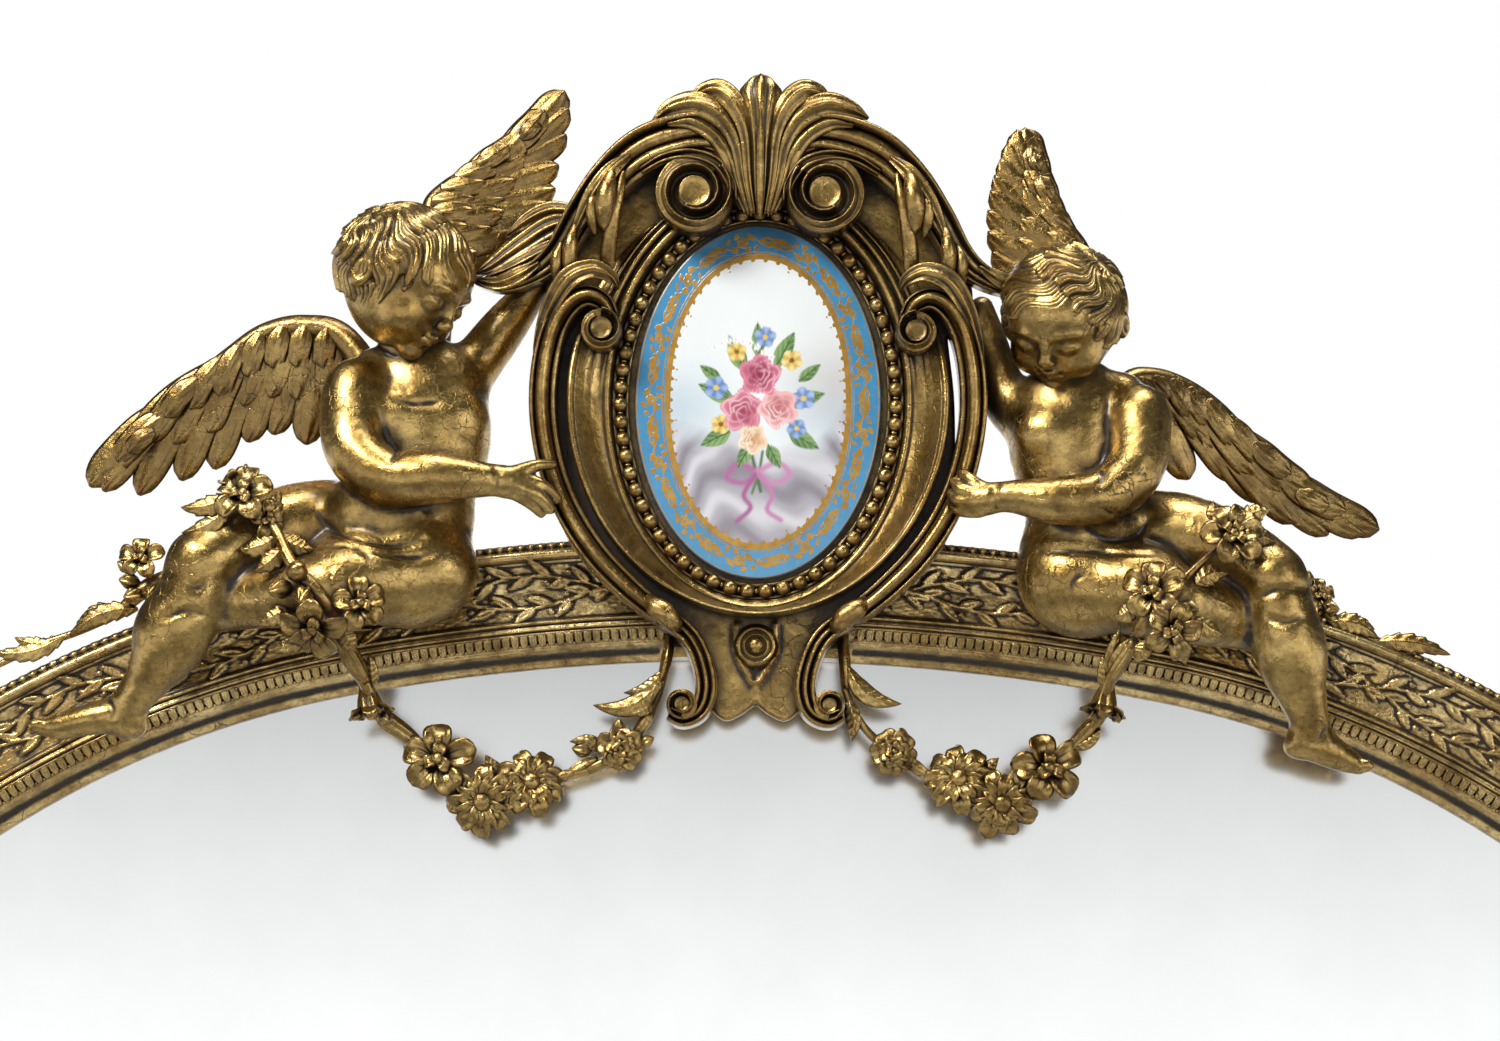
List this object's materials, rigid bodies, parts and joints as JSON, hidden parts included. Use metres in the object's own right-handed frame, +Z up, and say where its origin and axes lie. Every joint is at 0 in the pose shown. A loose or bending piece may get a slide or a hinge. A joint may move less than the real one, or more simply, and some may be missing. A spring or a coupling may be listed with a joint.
{
  "type": "trumeau mirror",
  "caption": "Arched giltwood overmantel mirror with a carved crest: an oval porcelain plaque in a scrolled cartouche between seated winged putti, with flower festoons.",
  "frame": {"origin": "middle of the underside of the base rail, at the middle of its depth", "axes": "+Z up, -Y out of the front, +Y into the wall, +X to the viewer's right"},
  "size_m": [1.5252, 0.2002, 2.05],
  "materials": {
    "gilt": "carved wood and composition, water gilded over red bole, worn, with brown glaze in the hollows",
    "gilt_frame": "moulded wood and composition, gilded, worn",
    "mirror_plate": "silvered glass plate",
    "porcelain": "painted and gilded porcelain under clear glaze",
    "pine": "plain sawn pine, darkened",
    "steel": "dull steel plate"
  },
  "bodies": {
    "root": {"arch_moulding_left": "gilt_frame", "stile_moulding_left": "gilt_frame", "back_arch_left": "pine", "back_stile_left": "pine", "keyhole_plate_left": "steel", "glazing_block_left": "pine", "glazing_block_base_left": "pine", "hood_scroll_left": "gilt", "side_scroll_left": "gilt", "foot_scroll_left": "gilt", "lap_garland_left": "gilt", "festoon_left": "gilt", "trail_left": "gilt", "putto_left_torso": "gilt", "putto_left_head": "gilt", "putto_left_high_leg": "gilt", "putto_left_low_leg": "gilt", "putto_left_near_arm": "gilt", "putto_left_far_arm": "gilt", "putto_left_low_wing": "gilt", "putto_left_high_wing": "gilt", "arch_moulding_right": "gilt_frame", "stile_moulding_right": "gilt_frame", "back_arch_right": "pine", "back_stile_right": "pine", "keyhole_plate_right": "steel", "glazing_block_right": "pine", "glazing_block_base_right": "pine", "hood_scroll_right": "gilt", "side_scroll_right": "gilt", "foot_scroll_right": "gilt", "lap_garland_right": "gilt", "festoon_right": "gilt", "trail_right": "gilt", "putto_right_torso": "gilt", "putto_right_head": "gilt", "putto_right_high_leg": "gilt", "putto_right_low_leg": "gilt", "putto_right_near_arm": "gilt", "putto_right_far_arm": "gilt", "putto_right_low_wing": "gilt", "putto_right_high_wing": "gilt", "base_moulding": "gilt_frame", "keystone_block": "gilt_frame", "back_base_rail": "pine", "mirror_glass": "mirror_plate", "backboard_lower": "pine", "backboard_middle": "pine", "backboard_upper": "pine", "glazing_block_top": "pine", "cartouche_shield": "gilt", "cartouche_bowl": "gilt", "pearl_ring": "gilt", "porcelain_plaque": "porcelain", "crest_bracket": "pine", "acanthus_crown": "gilt", "foot_boss": "gilt"}
  },
  "joints": []
}
